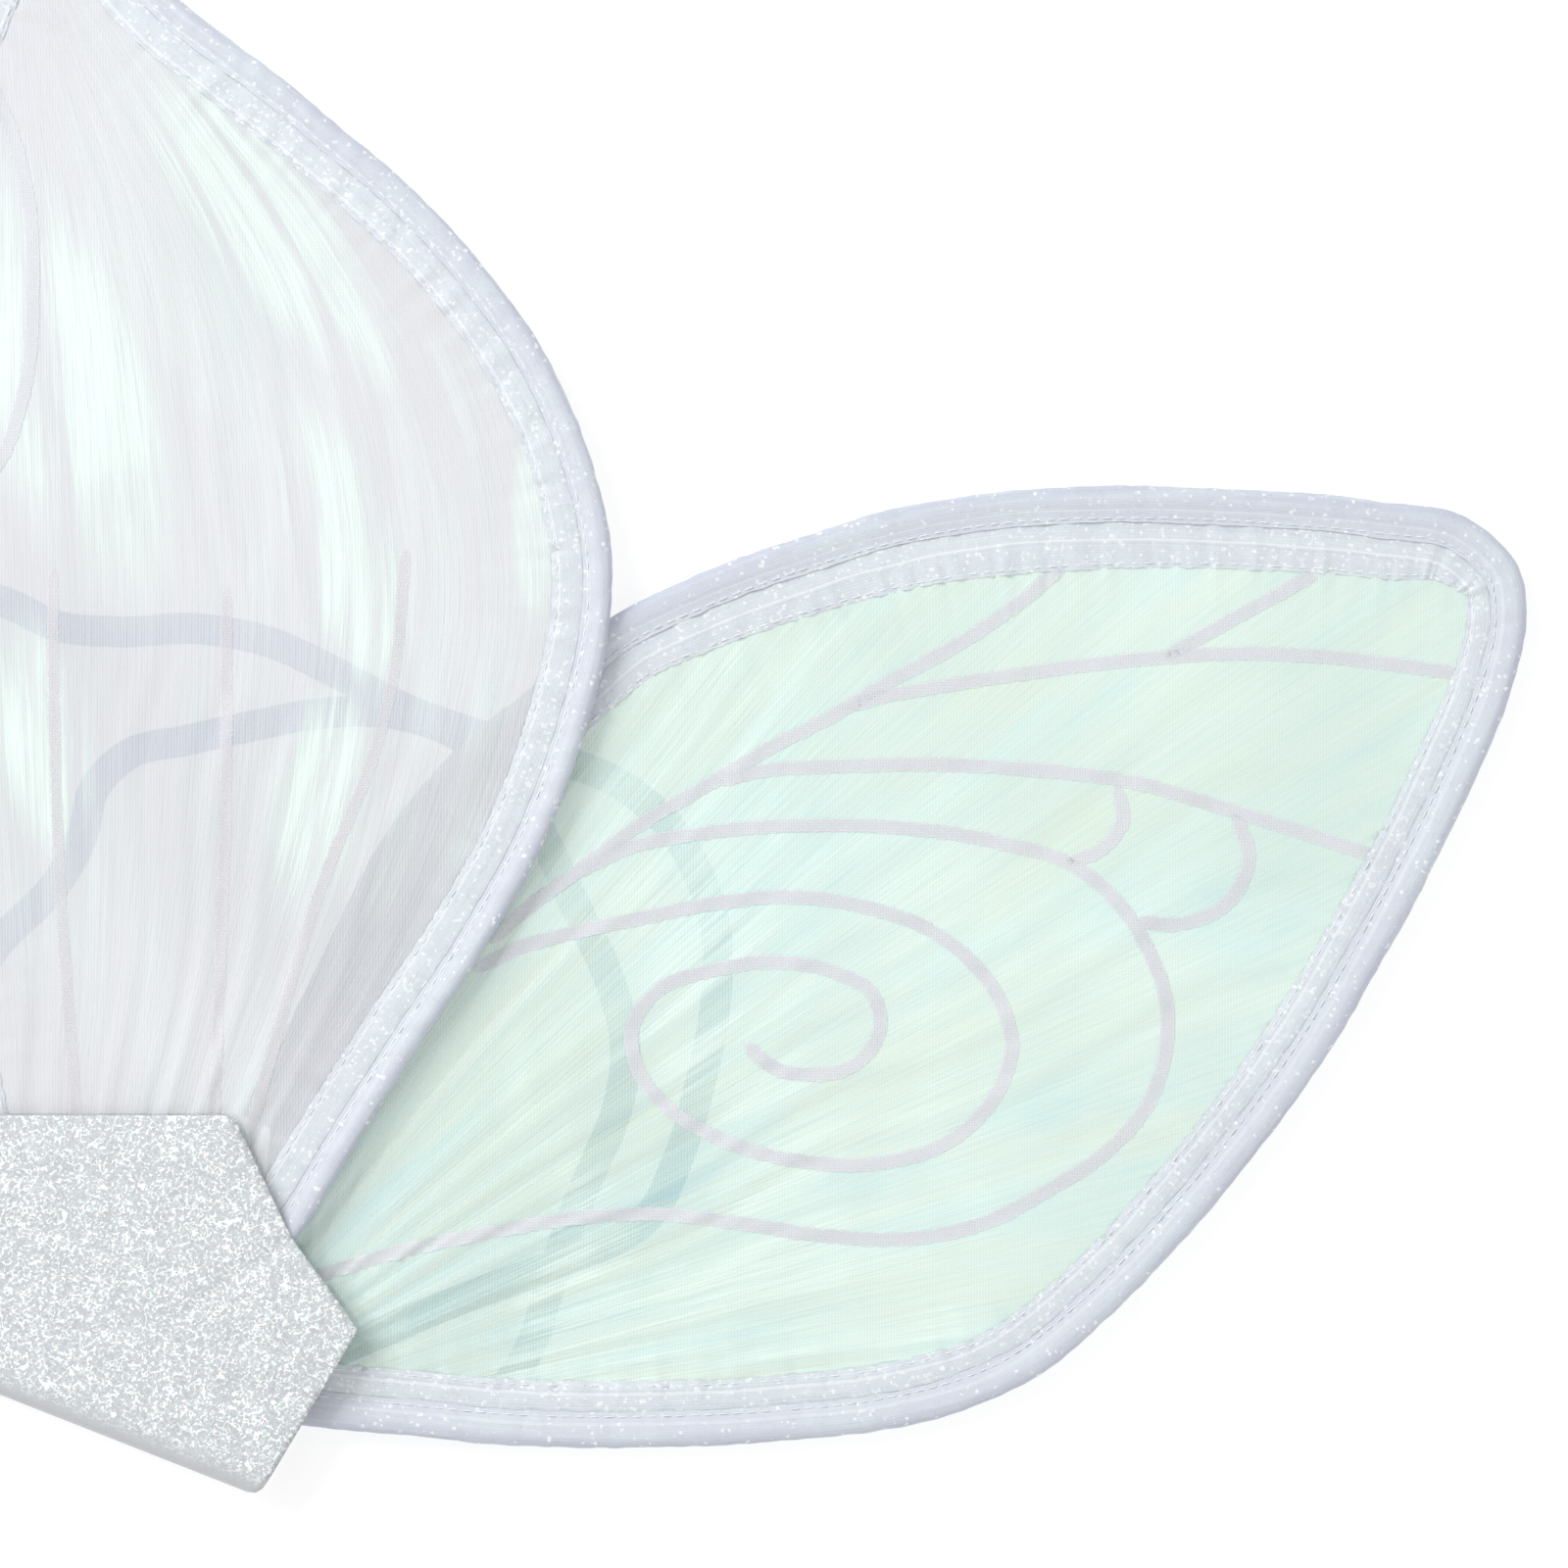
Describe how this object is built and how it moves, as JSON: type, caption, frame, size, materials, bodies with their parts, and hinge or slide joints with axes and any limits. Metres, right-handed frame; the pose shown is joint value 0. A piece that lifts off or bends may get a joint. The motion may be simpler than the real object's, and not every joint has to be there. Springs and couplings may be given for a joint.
{
  "type": "costume fairy wings",
  "caption": "Wire-framed sheer organza fairy wings in two mirrored pairs, sewn to a folded glitter back patch with elastic shoulder loops; halves fold forward.",
  "frame": {"origin": "middle of the spine's flat back face, on the surface the wings lie on", "axes": "+X to the right-hand pair seen from the front, +Y towards the tips of the upper pair, +Z out of the decorated front"},
  "size_m": [0.6626, 0.3244, 0.0102],
  "materials": {
    "glitter_cloth": "white cloth covered in fine iridescent glitter",
    "stiffener_board": "plain stiff board",
    "steel_wire": "galvanised spring wire",
    "crimp_sleeve": "crimped sleeve",
    "casing_ribbon": "lilac-white glitter organza, folded round the wire",
    "glitter_ribbon": "sheer ribbon with fine pastel glitter",
    "iridescent_organza": "sheer film-bonded organza that shifts from mint green to pink, with printed lilac veins",
    "elastic_strap": "braided flat elastic"
  },
  "bodies": {
    "spine": {"spine_cover": "glitter_cloth", "spine_stay": "stiffener_board"},
    "right_half": {"cover_right": "glitter_cloth", "stiffener_right": "stiffener_board", "upper_wire_right": "steel_wire", "upper_clamp_right": "crimp_sleeve", "upper_casing_right": "casing_ribbon", "upper_hem_right": "glitter_ribbon", "upper_membrane_right": "iridescent_organza", "lower_wire_right": "steel_wire", "lower_clamp_right": "crimp_sleeve", "lower_casing_right": "casing_ribbon", "lower_hem_right": "glitter_ribbon", "lower_membrane_right": "iridescent_organza", "strap_right": "elastic_strap"},
    "left_half": {"cover_left": "glitter_cloth", "stiffener_left": "stiffener_board", "upper_wire_left": "steel_wire", "upper_clamp_left": "crimp_sleeve", "upper_casing_left": "casing_ribbon", "upper_hem_left": "glitter_ribbon", "upper_membrane_left": "iridescent_organza", "lower_wire_left": "steel_wire", "lower_clamp_left": "crimp_sleeve", "lower_casing_left": "casing_ribbon", "lower_hem_left": "glitter_ribbon", "lower_membrane_left": "iridescent_organza", "strap_left": "elastic_strap"}
  },
  "joints": [
    {"name": "right_fold", "type": "hinge", "parent": "spine", "child": "right_half", "pos_m": [0.0032, 0, 0.0102], "axis": [0, -1, 0], "range_deg": [0, 85]},
    {"name": "left_fold", "type": "hinge", "parent": "spine", "child": "left_half", "pos_m": [-0.0032, 0, 0.0102], "axis": [0, 1, 0], "range_deg": [0, 85]}
  ]
}
